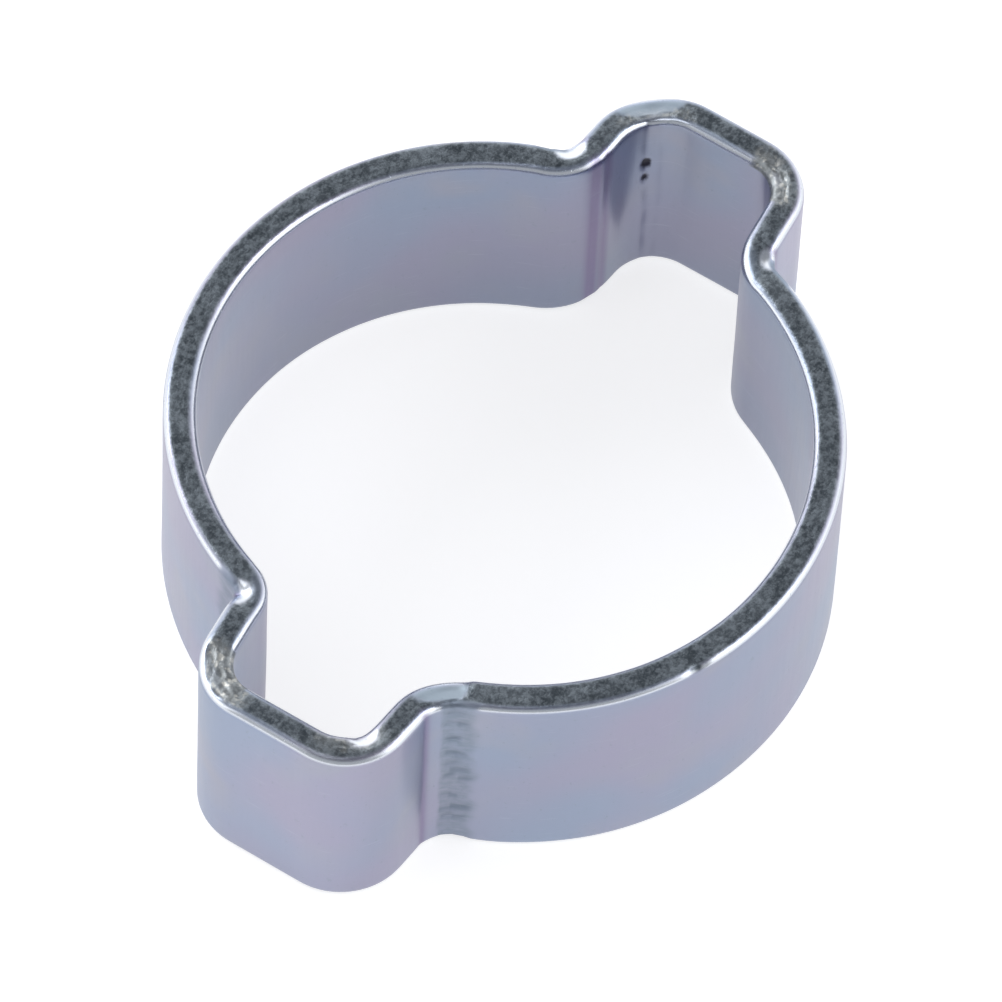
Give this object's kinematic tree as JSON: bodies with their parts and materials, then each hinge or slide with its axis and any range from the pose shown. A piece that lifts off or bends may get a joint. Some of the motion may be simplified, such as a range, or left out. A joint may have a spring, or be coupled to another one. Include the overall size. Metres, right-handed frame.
{
  "type": "two-ear hose clamp",
  "caption": "Open ear hose clamp: a closed steel band with a round bore and opposite ears that are pinched in to tighten it on a hose.",
  "frame": {"origin": "bore axis, at the lower cut edge that the clamp lies on", "axes": "+Z along the bore axis, up from the lower cut edge; +X through the middle of one ear, -X through the other; +Y across the ears"},
  "size_m": [0.025, 0.02, 0.0078],
  "materials": {
    "zinc_plated_steel": "bright zinc plate with a thin blue-violet passivate, satin; cut edges darker and rough"
  },
  "bodies": {
    "root": {"band": "zinc_plated_steel"}
  },
  "joints": []
}
